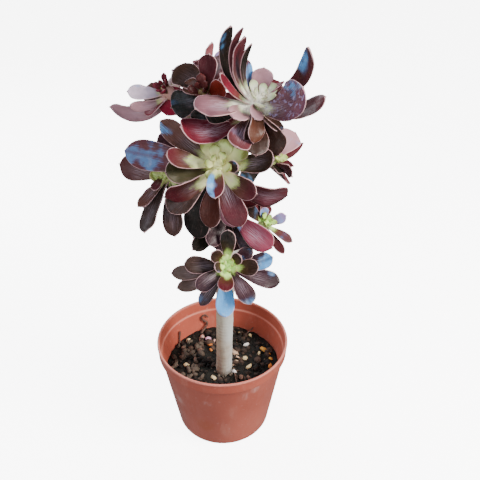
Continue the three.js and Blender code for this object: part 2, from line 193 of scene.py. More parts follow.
class Finish:
    """One material, with shorthand for the nodes that these finishes share."""

    def __init__(self, name):
        self.material = bpy.data.materials.new(name)
        self.material.use_nodes = True
        self.tree = self.material.node_tree
        self.shader = self.tree.nodes["Principled BSDF"]
        self.place = self.node("ShaderNodeTexCoord").outputs["Object"]

    def node(self, kind, **settings):
        made = self.tree.nodes.new(kind)
        for key, value in settings.items():
            setattr(made, key, value)
        return made

    def link(self, value, socket):
        if isinstance(value, bpy.types.NodeSocket):
            self.tree.links.new(value, socket)
        else:
            socket.default_value = value

    def noise(self, scale, detail=3.0, rough=0.55, place=None, stretch=None):
        source = place or self.place
        if stretch:
            mapping = self.node("ShaderNodeMapping")
            self.link(source, mapping.inputs["Vector"])
            mapping.inputs["Scale"].default_value = stretch
            source = mapping.outputs["Vector"]
        made = self.node("ShaderNodeTexNoise")
        self.link(source, made.inputs["Vector"])
        made.inputs["Scale"].default_value = scale
        made.inputs["Detail"].default_value = detail
        made.inputs["Roughness"].default_value = rough
        return made.outputs["Fac"]

    def ramp(self, value, low, high, smooth=True):
        """0 below low, 1 above high."""
        made = self.node("ShaderNodeMapRange")
        made.interpolation_type = "SMOOTHSTEP" if smooth else "LINEAR"
        self.link(value, made.inputs["Value"])
        self.link(low, made.inputs["From Min"])
        self.link(high, made.inputs["From Max"])
        return made.outputs["Result"]

    def mix(self, amount, first, second):
        made = self.node("ShaderNodeMix", data_type="RGBA")
        self.link(amount, made.inputs["Factor"])
        self.link(first, made.inputs[6])
        self.link(second, made.inputs[7])
        return made.outputs[2]

    def maths(self, operation, first, second):
        made = self.node("ShaderNodeMath", operation=operation)
        self.link(first, made.inputs[0])
        self.link(second, made.inputs[1])
        return made.outputs[0]

    def times(self, first, second):
        return self.maths("MULTIPLY", first, second)

    def plus(self, first, second):
        return self.maths("ADD", first, second)

    def minus(self, first, second):
        return self.maths("SUBTRACT", first, second)

    def tint(self, colour, where, strength, shade):
        """Lay a shade over a colour, `strength` deep where `where` is 1."""
        return self.mix(self.times(where, strength), colour, shade)

    def spot(self, x, y, z, inside, outside):
        """1 within `inside` millimetres of a place, 0 beyond `outside`."""
        away = self.node("ShaderNodeVectorMath", operation="DISTANCE")
        self.link(self.place, away.inputs[0])
        away.inputs[1].default_value = (x * MM, y * MM, z * MM)
        return self.ramp(away.outputs["Value"], outside * MM, inside * MM)

    def attribute(self, name, output="Color"):
        return self.node("ShaderNodeAttribute", attribute_name=name).outputs[output]

    def bump(self, height, strength, distance, normal=None):
        made = self.node("ShaderNodeBump")
        made.inputs["Strength"].default_value = strength
        made.inputs["Distance"].default_value = distance
        self.link(height, made.inputs["Height"])
        if normal is not None:
            self.link(normal, made.inputs["Normal"])
        return made.outputs["Normal"]

    def finish(self, colour, roughness, normal=None, **sockets):
        self.link(colour, self.shader.inputs["Base Color"])
        self.link(roughness, self.shader.inputs["Roughness"])
        if normal is not None:
            self.link(normal, self.shader.inputs["Normal"])
        for key, value in sockets.items():
            self.link(value, self.shader.inputs[key.replace("_", " ")])
        return self.material


# %% [markdown]
# ## The pot
# A nursery pot is blow-moulded or pressed from thin plastic: a taper, a band below the rim that steps
# out, a rolled lip and a ledge inside. A profile spun round the axis gives all of it at once, with the
# corners rounded before the spin, so the highlights run along soft edges as they do on real plastic.

# %% Pot shape
POT_STEPS = 128
CORNER = 0.42
BAND_TAPER, BAND_STEP, BAND_WALL = 0.9, 0.6, 3.0
LIP, LIP_DEPTH, LIP_WIDTH, LIP_WALL = 1.1, 3.2, 2.0, 2.4
LEDGE, LEDGE_WIDTH = 1.3, 0.3
FOOT_ROUND = 2.4
DRAIN_HOLES = 6
DRAIN_RADIUS = 4.0
DRAIN_RING = 29.0


def spun(name, profile, corner, steps):
    """Spin a profile of (radius, height) millimetres round the Z axis."""
    made = bmesh.new()
    points = [made.verts.new((r * MM, 0.0, z * MM)) for r, z in profile]
    for a, b in zip(points, points[1:]):
        made.edges.new((a, b))
    if corner:
        inner = [v for v in made.verts if v.co.x > 1e-6 and len(v.link_edges) == 2]
        bmesh.ops.bevel(made, geom=inner, offset=corner * MM, affect="VERTICES", segments=3,
                        profile=0.5, material=-1)
    bmesh.ops.spin(made, geom=made.verts[:] + made.edges[:], cent=(0, 0, 0), axis=(0, 0, 1),
                   angle=2 * math.pi, steps=steps, use_merge=True)
    bmesh.ops.remove_doubles(made, verts=made.verts, dist=1e-6)
    bmesh.ops.recalc_face_normals(made, faces=made.faces)
    return new_mesh(name, made)


pot_profile = [
    (0, 0), (pot_outer(0) - FOOT_ROUND, 0), (pot_outer(0) - FOOT_ROUND * 0.35, FOOT_ROUND * 0.3),
    (pot_outer(FOOT_ROUND), FOOT_ROUND), (pot_outer(NECK_HEIGHT), NECK_HEIGHT),
    (RIM_RADIUS - BAND_TAPER, NECK_HEIGHT + BAND_STEP), (RIM_RADIUS - LIP * 0.5, POT_HEIGHT - LIP_DEPTH),
    (RIM_RADIUS, POT_HEIGHT - LIP), (RIM_RADIUS - LIP * 0.5, POT_HEIGHT),
    (RIM_RADIUS - LIP_WIDTH, POT_HEIGHT), (RIM_RADIUS - LIP_WALL, POT_HEIGHT - LIP),
    (RIM_RADIUS - BAND_WALL, NECK_HEIGHT + LEDGE),
    (pot_inner(NECK_HEIGHT) + LEDGE_WIDTH, NECK_HEIGHT - LEDGE),
    (pot_inner(POT_FLOOR), POT_FLOOR), (0, POT_FLOOR),
]
pot = spun("nursery_pot", pot_profile, CORNER, POT_STEPS)
bm = bmesh.new()
for i in range(DRAIN_HOLES):
    angle = (i + 0.5) / DRAIN_HOLES * 2 * math.pi
    at = (DRAIN_RING * MM * math.cos(angle), DRAIN_RING * MM * math.sin(angle), POT_FLOOR * MM / 2)
    bmesh.ops.create_cone(bm, cap_ends=True, segments=24, radius1=DRAIN_RADIUS * MM,
                          radius2=DRAIN_RADIUS * MM, depth=4 * POT_FLOOR * MM, matrix=Matrix.Translation(at))
drill = new_mesh("drill", bm)
cut = pot.modifiers.new("drain_holes", "BOOLEAN")
cut.object = drill
cut.operation = "DIFFERENCE"


def apply_modifiers(piece):
    graph = bpy.context.evaluated_depsgraph_get()
    finished = bpy.data.meshes.new_from_object(piece.evaluated_get(graph))
    piece.modifiers.clear()
    piece.data = finished


apply_modifiers(pot)
bpy.data.objects.remove(drill)
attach(pot, "root")
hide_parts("pot")
print("pot faces:", len(pot.data.polygons))

# %% [markdown]
# ### Terracotta-coloured plastic
# The colour is moulded in, so it is even, with slow cloudy changes. Handling leaves whitish scuffs on
# the outside and a dusty film. The thin, rounded lip of the rim is painted paler as a highlight, partly
# as wear from handling. The step below the band has painted shade under it on the outside and a painted
# highlight along the ledge inside.

# %% Pot finish
# Scuffs and the rusty blotch: x, y, z and a radius, in millimetres.
SCUFFS = [
    (17.7, -52.7, 73.4, 8.0), (28.3, -48.9, 79.0, 7.0), (-14.8, -51.8, 63.8, 7.0), (-40.0, -33.0, 51.0, 9.0),
]
BLOTCH = (-17.6, -45.0, 30.0, 13.0)

f = Finish("terracotta_plastic")
clouds = f.noise(14.0, 4.0)
fibre = f.noise(70.0, 6.0, 0.7, stretch=(1.0, 1.0, 0.3))
speck = f.noise(320.0, 3.0, 0.6)
colour = f.mix(f.ramp(clouds, 0.35, 0.7), srgb(172, 86, 68), srgb(190, 101, 83))
colour = f.tint(colour, f.ramp(fibre, 0.52, 0.75), 0.4, srgb(200, 138, 122))
colour = f.tint(colour, f.ramp(speck, 0.6, 0.75), 0.2, srgb(220, 180, 168))
for x, y, z, size in SCUFFS:
    worn = f.times(f.spot(x, y, z, size * 0.2, size), f.ramp(fibre, 0.4, 0.6))
    colour = f.tint(colour, worn, 0.45, srgb(222, 180, 172))
x, y, z, size = BLOTCH
stain = f.times(f.spot(x, y, z, size * 0.3, size), f.ramp(clouds, 0.3, 0.55))
colour = f.tint(colour, stain, 0.55, srgb(170, 80, 42))
parts = f.node("ShaderNodeSeparateXYZ")
f.link(f.place, parts.inputs[0])
height = parts.outputs["Z"]
away = f.node("ShaderNodeVectorMath", operation="LENGTH")
flat = f.node("ShaderNodeCombineXYZ")
f.link(parts.outputs["X"], flat.inputs[0])
f.link(parts.outputs["Y"], flat.inputs[1])
f.link(flat.outputs[0], away.inputs[0])
inner = f.ramp(away.outputs["Value"], (NECK_RADIUS + 0.1) * MM, (NECK_RADIUS - 0.3) * MM)
# Painted highlight: the lip of the rim is painted paler, partly as paler wear from handling.
lip_highlight = f.ramp(height, (POT_HEIGHT - 2.4) * MM, (POT_HEIGHT - 0.5) * MM)
colour = f.tint(colour, lip_highlight, 0.45, srgb(222, 144, 128))
# Painted shade: a dark line under the outside step. Painted highlight: a pale line along the ledge inside.
shoulder = f.maths("ABSOLUTE", f.minus(height, NECK_HEIGHT * MM), 0.0)
shoulder = f.minus(1.0, f.ramp(shoulder, 0.3 * MM, 1.2 * MM))
outer_shade_share = f.minus(0.5, f.times(inner, 0.5))
colour = f.tint(colour, shoulder, outer_shade_share, srgb(112, 52, 42))
colour = f.tint(colour, shoulder, f.times(inner, 0.5), srgb(224, 150, 132))
fine = f.noise(900.0, 2.0)
pot.data.materials.append(f.finish(
    colour, f.ramp(fibre, -0.5, 1.7), f.bump(fine, 0.12, 0.0004), IOR=1.46))

# %% [markdown]
# ## The soil
# Potting mix is dark, lumpy and full of bark, with grit and a few pale bits that catch the eye. The
# body is a turned disc whose top is pushed up and down by noise; the bark and the grit are small
# separate lumps scattered on it by a seeded draw, larger ones fewer.

# %% Soil body
SOIL_RINGS = 26
SOIL_GRAIN, SOIL_SETTLE = 2.0, 0.8
LUMP_PITCH, LUMP_SHARE = 0.16, 0.9
CRUMB_PITCH, CRUMB_SHARE = 0.55, 0.45
STEM_FOOT = (0.9, -12.5)
SOIL_EDGE = pot_inner(SOIL_TOP) - GAP


def soil_height(x, y):
    """Height of the soil in millimetres above the base of the pot, at x, y in millimetres."""
    r = math.hypot(x, y) / SOIL_EDGE
    lumps = noise.fractal(Vector((x, y, 3.0)) * LUMP_PITCH, 1.0, 2.0, 4)
    crumbs = noise.fractal(Vector((x, y, 9.0)) * CRUMB_PITCH, 0.9, 2.0, 3)
    level = SOIL_TOP + SOIL_MOUND * (1 - r * r) - SOIL_SETTLE
    return level + SOIL_GRAIN * (LUMP_SHARE * lumps + CRUMB_SHARE * crumbs)


soil_profile = [(0, POT_FLOOR + GAP), (pot_inner(POT_FLOOR) - GAP, POT_FLOOR + GAP), (SOIL_EDGE, SOIL_TOP)]
soil_profile += [(SOIL_EDGE * (1 - (i + 1) / SOIL_RINGS), SOIL_TOP) for i in range(SOIL_RINGS)]
soil = spun("potting_mix", soil_profile, 0, 96)
for v in soil.data.vertices:
    if v.co.z > (SOIL_TOP - 1) * MM:
        v.co.z = soil_height(v.co.x / MM, v.co.y / MM) * MM
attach(soil, "root")
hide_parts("soil")

f = Finish("potting_mix")
grain = f.noise(420.0, 8.0, 0.75)
damp = f.noise(60.0, 4.0, 0.6)
colour = f.mix(f.ramp(grain, 0.35, 0.72), srgb(7, 7, 5), srgb(36, 32, 23))
colour = f.mix(f.ramp(damp, 0.48, 0.72), colour, srgb(14, 18, 9))
soil.data.materials.append(f.finish(colour, 0.92, f.bump(grain, 0.9, 0.0012), IOR=1.4))
print("soil faces:", len(soil.data.polygons))

# %% [markdown]
# Every chip is the same coarse ball, pulled out of shape by noise, flattened and laid at a turn of its
# own. One seeded draw decides all of it, so the soil comes out the same on every run.

# %% Bark and grit
BARK_PIECES, GRIT_PIECES = 420, 260
FEW_LARGE = 2.2
SOIL_COVER = 0.985
CHIP_ROUGH, CHIP_PITCH, CHIP_LEAN = 0.38, 0.9, 0.9
CHIP_NARROW, CHIP_WIDER = 0.45, 0.4
draw = random.Random(11)


def scatter(name, count, sizes, flat, clear, sink):
    """Small irregular lumps lying on the soil. clear keeps them off the stem."""
    made = bmesh.new()
    for _ in range(count):
        size = sizes[0] + (sizes[1] - sizes[0]) * draw.random() ** FEW_LARGE
        while True:
            r = SOIL_EDGE * math.sqrt(draw.random()) * SOIL_COVER - size * 0.4
            a = draw.random() * 2 * math.pi
            x, y = r * math.cos(a), r * math.sin(a)
            if math.hypot(x - STEM_FOOT[0], y - STEM_FOOT[1]) > clear + size * 0.5:
                break
        lump(made, size, flat, (x, y, soil_height(x, y) + size * flat * sink))
    return new_mesh(name, made)


def lump(made, size, flat, at, long=1.0):
    """One chip: a coarse ball, pulled out of shape and laid at a random turn."""
    ball = bmesh.ops.create_icosphere(made, subdivisions=1, radius=size * MM / 2)["verts"]
    offset = Vector((draw.random(), draw.random(), draw.random())) * 50
    for v in ball:
        v.co *= 1 + CHIP_ROUGH * noise.noise(v.co / MM * CHIP_PITCH / size * 2 + offset)
    lean = Matrix.Rotation((draw.random() - 0.5) * CHIP_LEAN, 4, "X")
    tilt = lean @ Matrix.Rotation((draw.random() - 0.5) * CHIP_LEAN, 4, "Y")
    turn = Matrix.Rotation(draw.random() * 2 * math.pi, 4, "Z")
    shape = Matrix.Diagonal((long, CHIP_NARROW + CHIP_WIDER * draw.random(), flat, 1.0))
    place = Matrix.Translation(Vector(at) * MM)
    bmesh.ops.transform(made, matrix=place @ turn @ tilt @ shape, verts=ball)


bark = scatter("bark_chips", BARK_PIECES, sizes=(2.2, 9.5), flat=0.5, clear=8.0, sink=0.25)
grit = scatter("fine_grit", GRIT_PIECES, sizes=(0.7, 2.2), flat=0.8, clear=8.0, sink=0.2)
print("on the soil:", BARK_PIECES, "bark,", GRIT_PIECES, "grit")

# %% [markdown]
# The pale bits are what the eye finds first, so most of them lie where the photograph shows them: x, y
# and size in millimetres from the middle of the pot, and a tone. Taupe chips fill in at the left by the
# same seeded draw. A chip too near the wall is moved inwards until it fits.

# %% Pale bits
PALE_BITS = [
    (-34.1, 32.1, 5.6, "cream"), (-20.0, 34.4, 6.8, "rose"), (-21.0, 29.0, 4.4, "rose"),
    (-14.0, 30.5, 6.6, "pink"), (-8.4, 26.7, 6.1, "rose"), (-12.3, 21.2, 4.9, "orange"),
    (-11.5, 14.5, 5.4, "orange"), (22.8, 19.9, 6.6, "white"), (20.5, 25.0, 3.2, "cream"),
    (27.5, 35.6, 5.6, "cream"), (17.2, 38.0, 3.2, "cream"), (22.5, 39.0, 3.7, "orange"),
    (21.0, 1.9, 7.1, "cream"), (24.2, -10.2, 6.6, "cream"), (-8.5, -23.0, 7.1, "cream"),
    (-33.8, -4.0, 6.1, "cream"), (-44.2, -2.3, 5.1, "rose"), (-35.2, 8.1, 4.4, "tan"),
    (39.5, 13.6, 8.8, "yellow"), (43.0, 8.5, 5.4, "yellow"), (34.7, 8.2, 5.1, "cream"),
    (45.6, 2.3, 5.1, "yellow"), (44.0, -8.3, 5.4, "orange"), (10.0, -16.1, 6.6, "white"),
    (-4.7, -9.1, 3.7, "cream"), (-22.0, 14.0, 5.2, "tan"), (16.2, -24.0, 8.0, "tan"),
    (23.0, -22.5, 5.0, "tan"), (-28.0, -12.0, 6.0, "tan"), (-26.0, 1.0, 6.4, "tan"),
    (-38.0, 20.0, 6.0, "tan"), (16.0, 29.0, 6.0, "tan"),
]
TONES = {
    "cream": srgb(222, 200, 150), "rose": srgb(208, 164, 150), "orange": srgb(198, 116, 50),
    "white": srgb(232, 228, 222), "yellow": srgb(204, 146, 62), "pink": srgb(222, 172, 196),
    "tan": srgb(112, 82, 68), "taupe": srgb(80, 68, 57),
}
DRIFT_CHIPS, DRIFT_MIDDLE, DRIFT_SPAN = 46, (-34, 2), (30, 52)
DRIFT_SIZE, DRIFT_LARGER = 4, 5
CHIP_REACH, CHIP_FLAT, CHIP_SINK, CHIP_LONG = 0.75, 0.6, 0.22, 1.15


def toned_lump(made, tone, size, flat, at, long):
    """A chip that carries its own colour, which the material reads."""
    before = len(made.verts)
    lump(made, size, flat, at, long)
    made.verts.ensure_lookup_table()
    for v in made.verts[before:]:
        v[made.verts.layers.float_color["tone"]] = tone


bm = bmesh.new()
bm.verts.layers.float_color.new("tone")
DRIFT = [(DRIFT_MIDDLE[0] + DRIFT_SPAN[0] * (draw.random() - 0.5),
          DRIFT_MIDDLE[1] + DRIFT_SPAN[1] * (draw.random() - 0.5),
          DRIFT_SIZE + DRIFT_LARGER * draw.random(), "taupe") for _ in range(DRIFT_CHIPS)]
for x, y, size, tone in PALE_BITS + DRIFT:
    inward = min(1.0, (SOIL_EDGE - CHIP_REACH * size) / math.hypot(x, y))
    x, y = x * inward, y * inward
    place = (x, y, soil_height(x, y) + size * CHIP_SINK)
    toned_lump(bm, TONES[tone], size, CHIP_FLAT, place, CHIP_LONG)
pale = new_mesh("pale_bits", bm)
print(len(PALE_BITS), "pale bits and", len(DRIFT), "taupe chips")

# %% [markdown]
# Bark and grit take their colour from a slow noise, so that neighbouring chips differ, and the pale bits
# from the tone that they carry. A finer noise roughens all three.

# %% Chip finishes
f = Finish("bark_chip")
grain = f.noise(300.0, 5.0, 0.7, stretch=(1.0, 1.0, 2.0))
which = f.noise(75.0, 1.0, 0.4)
colour = f.mix(f.ramp(which, 0.4, 0.66), srgb(15, 13, 11), srgb(72, 54, 44))
colour = f.mix(f.ramp(grain, 0.5, 0.85), colour, srgb(106, 82, 66))
bark.data.materials.append(f.finish(colour, 0.85, f.bump(grain, 0.7, 0.0008), IOR=1.4))
f = Finish("fine_grit")
which = f.noise(260.0, 1.0, 0.4)
colour = f.mix(f.ramp(which, 0.5, 0.72), srgb(24, 20, 17), srgb(130, 106, 84))
grit.data.materials.append(f.finish(colour, 0.8, f.bump(f.noise(900.0), 0.5, 0.0004), IOR=1.45))
f = Finish("pale_bit")
grain = f.noise(380.0, 4.0, 0.6)
colour = f.tint(f.attribute("tone"), f.ramp(grain, 0.5, 0.8), 0.5, srgb(120, 88, 66))
pale.data.materials.append(f.finish(colour, 0.75, f.bump(grain, 0.6, 0.0006), IOR=1.45))
for piece in (bark, grit, pale):
    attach(piece, "root")
print("chip finishes:", [p.data.materials[0].name for p in (bark, grit, pale)])

# %% [markdown]
# ## Where the rosettes are
# Each rosette has a growing tip, a direction that it faces and a list of leaves. A leaf is given by its
# azimuth round the axis, its lift from the rosette's plane, its length and width in millimetres, how
# much it bends along its length, its roll and its sideways sweep. After these come its tone, how far
# the pale base reaches along it, and the sky sheen, a whitish-blue reflection painted into the colour:
# a strength, or a strength with the place along the leaf where the sheen starts (negative: where it
# ends) and the side it keeps to (0 for both).
# `heart` names the colour of a rosette's middle, `wrinkled` its one creased leaf, and `buds` says how
# many young leaves close over the tip by the golden angle.

# %% Rosettes
# leaf: azimuth, lift, length, width, bend, roll, sweep, tone, pale, sky sheen (painted reflection)
HEADS = {
    "top": dict(place=(30, -6, 327), lean=(0.22, -0.5, 0.84), core=6, depth=13, buds=9, heart="cream",
                wrinkled=9, leaves=[
        (133, 11, 70, 11, 94, 8, -26, "black", 0.1, (0.45, 0.45, 1)),
        (143, 31, 70, 5, 76, 52, -9, "mauve", 0.2, 0.1), (144, 33, 61, 12.5, 72, 8, -24, "wine", 0.3, 0),
        (137, 41, 53, 5, 64, 40, -1, "black", 0.3, 0), (143, 30, 36.5, 10, 37, -6, -14, "pink", 0.5, 0),
        (169, 26, 41.5, 6.5, 35, 18, -17, "crimson", 0.3, 0),
        (110, 36, 30, 9, 27, -4, -10, "mauve", 0.3, (0.95, 0.1, 0)),
        (67, 45, 22, 15.5, 20, -2, 2, "blush", 0.3, 0), (14, 35, 21.5, 9, 8, 49, 0, "crimson", 0.3, 0),
        (298, 29, 48.5, 27, 65, -43, 19, "grape", 0.25, (0.9, 0.45, 1)),
        (356, 22, 68, 14.5, 101, -22, -16, "wine", 0.1, (0.9, 0.5, 1)),
        (322, -2, 55, 14.5, 81, -2, 19, "mauve", 0.2, 0), (182, 15, 51, 22, 6, -11, 6, "dusty", 0.45, 0),
        (202, 20, 29, 15, 4, -1, 14, "blush", 0.6, 0), (234, 40, 20, 12, -35, 26, 8, "blush", 0.5, 0.1),
        (191, -34, 67, 22, 90, 2, -7, "crimson", 0.15, 0),
        (225, -9, 48, 18, 50, 11, 5, "mauve", 0.2, (0.12, 0.4, 0)),
        (242, 32, 33.5, 13.5, -63, 28, 2, "amber", 0.3, 0), (270, -5, 36, 24, -8, -49, 16, "coffee", 0.1, 0),
        (285, 2, 24.5, 13, 12, 18, 18, "brown", 0.2, (0.3, 0.7, 0)),
        (36, 0, 34, 18, -10, 0, 0, "wine", 0.2, 0),
        (90, -38, 42, 19, 8, 0, 0, "wine", 0.1, 0), (246, 2, 37, 19, -10, 5, 6, "coffee", 0.15, 0),
    ]),
    "crown": dict(place=(-11.5, 14, 324), lean=(-0.35, -0.62, 0.7), core=6, depth=12, buds=7, heart="dusk",
                  leaves=[
        (76, 31, 28, 25.5, -25, 16, 14, "umber", 0.1, 0),
        (144, 10, 31.5, 26.5, 19, -29, 30, "coffee", 0.1, 0),
        (210, 11, 24.5, 22.5, 16, 13, 14, "olive", 0, (0.12, 0.6, -1)),
        (184, -15, 43.5, 23, 22, 27, 9, "cherry", 0, 0), (282, -6, 13, 25.5, -6, 19, 10, "olive", 0, 0),
        (23, 32, 18.5, 14, 5, -43, -4, "red", 0.1, 0), (86, 35, 28, 16, 10, 0, 0, "wine", 0.2, 0),
        (130, -10, 34, 17, 0, 0, 0, "wine", 0.1, 0), (64, -5, 32, 16, 0, 0, 0, "wine", 0.1, 0),
        (163, 22, 17, 13, 4, -2, -4, "amber", 0.3, 0), (330, 22, 30, 24, -17, 16, -4, "olive", 0, 0),
    ]),
    "back": dict(place=(-6.2, 54, 328), lean=(-0.05, 0.4, 0.92), core=5, depth=9, buds=6, leaves=[
        (92, 74, 21.5, 9.5, -17, -27, 24, "pink", 0.2, 0), (56, 55, 14, 14, -9, -17, 5, "pink", 0.2, 0),
        (129, 42, 19, 6, 41, 17, 2, "lilac", 0.3, (0.6, 0.2, 0)),
        (150, 20, 28, 14, 0, 0, 0, "mauve", 0.25, 0),
        (190, 12, 32, 15, 0, 0, 0, "wine", 0.2, 0), (228, 8, 34, 16, 0, 0, 0, "wine", 0.2, (0.3, 0.6, 0)),
        (269, 7, 36, 16, 0, 0, 0, "wine", 0.2, 0.1), (309, 10, 34, 15, 0, 0, 0, "brown", 0.2, 0.1),
        (345, 18, 28, 14, 0, 0, 0, "mauve", 0.2, 0.1), (250, 35, 26, 13, 0, 0, 0, "wine", 0.35, 0.1),
        (290, 38, 24, 12, 0, 0, 0, "wine", 0.35, 0.1),
    ]),
    "left": dict(place=(-41, 34, 320.5), lean=(-0.55, -0.5, 0.67), core=5, depth=10, buds=7, heart="rosy",
                 leaves=[
        (205, 10, 21, 17, 22, -3, -3, "tan", 0.3, 0),
        (220, 29, 30, 14, 31, 2, 3, "pale_lilac", 0.2, (0.4, 0.5, 0)),
        (244, 9, 32.5, 8, 58, 63, -6, "blush", 0.3, 0), (229, -17, 61.5, 17.5, 48, 69, -42, "blush", 0.1, 0),
        (239, 5, 24, 13, 0, 0, 0, "crimson", 0.1, 0), (150, -10, 26, 14, -25, 0, 0, "mauve", 0.25, 0),
        (110, 0, 28, 14, -25, 0, 0, "wine", 0.2, 0.1), (75, 0, 28, 14, -10, 0, 0, "wine", 0.2, 0.1),
        (175, -15, 32, 15, -10, 0, 0, "mauve", 0.2, 0.1), (130, -5, 14, 10, 0, 0, 0, "pink", 0.4, 0),
    ]),
    "main": dict(place=(-0.6, -24, 284), lean=(-0.03, -0.78, 0.62), core=6.5, depth=13, buds=8,
                 heart="yellow", leaves=[
        (146, 17, 50, 15.5, 6, 21, -4, "tan", 0.3, (1.0, 0.6, 1)), (116, 38, 20, 13, 0, 0, 0, "lime", 0.9, 0),
        (67, 40, 18, 12, 0, 0, 0, "lime", 0.9, 0), (24, 36, 25, 12, 0, 0, 0, "lime", 0.8, 0),
        (181, 32, 45.5, 14, 30, -9, -4, "wine", 0.55, 0), (224, 17, 42.5, 25, -25, 68, -28, "wine", 0.5, 0),
        (265, 69, 40.5, 12, -42, -1, 7, "wine", 0.5, (1.0, 0.3, -1)),
        (287, 8, 44, 18, -16, -14, 9, "wine", 0.25, 0), (311, 19, 35, 16, 7, -35, 21, "wine", 0.55, 0),
        (359, 12, 46, 17, 49, 8, 3, "brown", 0.45, 0),
        (344, 51, 18, 8.5, -2, -32, 1, "plum", 0.6, (0.3, 0.5, 0)),
        (171, -4, 69.5, 22.5, -3, 10, -5, "mauve", 0.1, (0.55, 0.3, 0)),
        (314, 3, 58.5, 23, -44, -61, 60, "wine", 0.1, 0), (214, -6, 46, 20, 7, 4, 19, "brown", 0.1, 0),
        (245, -10, 55, 23.5, -27, -20, 7, "black", 0.1, 0), (257, -3, 42, 17.5, -10, -28, 12, "rust", 0.1, 0),
        (88, 12, 34, 17, 0, 0, 0, "wine", 0.3, 0), (50, 5, 38, 18, 0, 0, 0, "wine", 0.2, 0),
        (192, 19, 38, 18, 12, 2, 1, "moss", 0.2, 0), (291, -20, 43, 18, 1, 4, -14, "grape", 0.1, 0),
    ]),
    "flank": dict(place=(-42.5, -6, 268), lean=(-0.38, -0.66, 0.65), core=5, depth=11, buds=7, leaves=[
        (183, 15, 37.5, 20, 4, 31, -1, "maroon_tan", 0.2, 0), (254, 20, 31, 9, 3, 6, -4, "tan", 0.3, 0),
        (266, 56, 17, 7, -35, 15, 24, "wine", 0.3, 0), (265, 9, 46.5, 17, 13, -16, 17, "coffee", 0.1, 0),
        (295, 0, 45, 16, 2, 4, 2, "coffee", 0.1, 0), (350, 35, 30, 12, 0, 0, 0, "moss", 0.8, 0),
        (229, 55, 11, 9, 0, 0, 0, "lime", 0.8, 0), (106, 12, 34, 17, 0, 0, 0, "wine", 0.2, 0.1),
        (227, -20, 36, 15, 0, 0, 0, "wine", 0.1, 0),
    ]),
    "hidden": dict(place=(7, -16, 238.5), lean=(0.05, -0.85, 0.52), core=5, depth=9, buds=5, leaves=[
        (318, 24, 42, 20, -15, -25, -3, "rosewood", 0, (0.8, -0.3, 0)),
        (291, 2, 37, 8.5, 11, -10, 8, "plum", 0.1, 0),
        (236, 13, 28.5, 14, 9, 21, 0, "plum", 0.1, 0), (223, 3, 38, 15, 10, 30, 1, "black", 0, 0),
        (150, 20, 24, 13, 0, 0, 0, "wine", 0.1, 0), (95, 15, 24, 13, 0, 0, 0, "wine", 0.1, 0),
        (30, 15, 26, 14, 0, 0, 0, "wine", 0.1, 0), (267, -10, 29, 26, 2, -2, 0, "plum", 0.1, 0),
    ]),
    "low": dict(place=(5.4, -38, 203), lean=(0, -0.76, 0.65), core=4.6, depth=11, buds=8, heart="bright",
                leaves=[
        (88, 28, 29, 12, 11, 10, 1, "black", 0.4, 0), (141, 48, 19, 10, 0, 0, 0, "brown", 0.45, 0),
        (34, 52, 15, 9, 0, 0, 0, "brown", 0.5, 0), (353, 34, 25, 13, 0, 0, 0, "brown", 0.45, 0),
        (191, 58, 15, 8, 0, 0, 0, "brown", 0.55, (0.5, 0.5, 0)),
        (177, 17, 32.5, 13.5, 1, 8, -2, "brown", 0.15, 0), (188, 0, 42.5, 12, -8, 13, -7, "taupe", 0.1, 0),
        (206, -14, 42, 11.5, 4, 26, -12, "taupe", 0.1, 0), (214, 32, 29.5, 13, -23, 6, 5, "plum", 0.3, 0),
        (229, -18, 36, 10.5, 2, -2, 7, "plum", 0.1, (0.3, 0.7, 0)),
        (262, 46, 26, 12, 0, 0, 0, "wine", 0.5, 0),
        (261, 1, 37.5, 14.5, 16, -5, 12, "plum", 0.1, (3.0, 0.02, 0)),
        (301, 11, 33, 16, 11, 26, -3, "plum", 0.15, (0.55, 0.78, 0)),
        (339, -2, 41, 14, -10, -2, 9, "plum", 0.1, (0.4, 0.4, 1)),
        (0, 8, 34, 13.5, 5, 7, 22, "plum", 0.1, (0.9, 0.2, 0)),
        (33, 20, 21, 11, 0, 0, 0, "plum", 0.1, (0.6, 0.2, 0)),
    ]),
    "side": dict(place=(38, -4, 221.5), lean=(0.42, -0.62, 0.66), core=4, depth=8, buds=7, heart="bright",
                 leaves=[
        (355, 27, 17, 9.5, 9, -29, 4, "lilac", 0.4, 0.6),
        (295, 26, 25, 8, -7, 3, 6, "mauve", 0.35, (0.3, 0.5, 0)),
        (274, 11, 28, 8, 18, -7, -5, "wine", 0.2, 0),
        (93, 40, 12, 9, 0, 0, 0, "lilac", 0.4, 0.6), (135, 30, 24, 11, 0, 0, 0, "brown", 0.3, 0.2),
        (52, 0, 18, 11, -10, 0, 0, "wine", 0.2, 0.1), (75, -5, 22, 12, -10, 0, 0, "wine", 0.2, 0.1),
    ]),
    "right": dict(place=(46, 24, 264.5), lean=(0.65, -0.45, 0.61), core=5, depth=10, buds=6, leaves=[
        (16, 27, 35, 20, -17, 21, -6, "blush", 0.2, (0.4, 0.5, 0)),
        (343, -4, 47, 6.5, 26, -26, 27, "wine", 0.1, 0), (297, -1, 25.5, 11, 0, 22, 0, "mauve", 0.1, 0.15),
        (288, 32, 19, 17, -11, 60, -22, "mauve", 0.1, 0.15), (316, 31, 17, 11, 4, 25, -16, "wine", 0.2, 0),
        (263, 30, 12, 12, 0, 0, 0, "black", 0.1, 0), (35, 0, 30, 16, -10, 0, 0, "wine", 0.2, 0.1),
        (70, 5, 28, 16, -10, 0, 0, "wine", 0.2, 0.1), (105, 15, 24, 14, 0, 0, 0, "mauve", 0.2, 0.1),
        (173, -4, 44, 14, 23, 6, 17, "black", 0.1, 0.2),
    ]),
}
GOLDEN = 137.508
for head in HEADS.values():
    axis = Vector(head["lean"]).normalized()
    right = Vector((0, 0, 1)).cross(axis).normalized()
    head["axis"], head["right"], head["up"] = axis, right, axis.cross(right)
print(len(HEADS), "rosettes,", sum(len(h["leaves"]) + h["buds"] for h in HEADS.values()), "leaves")

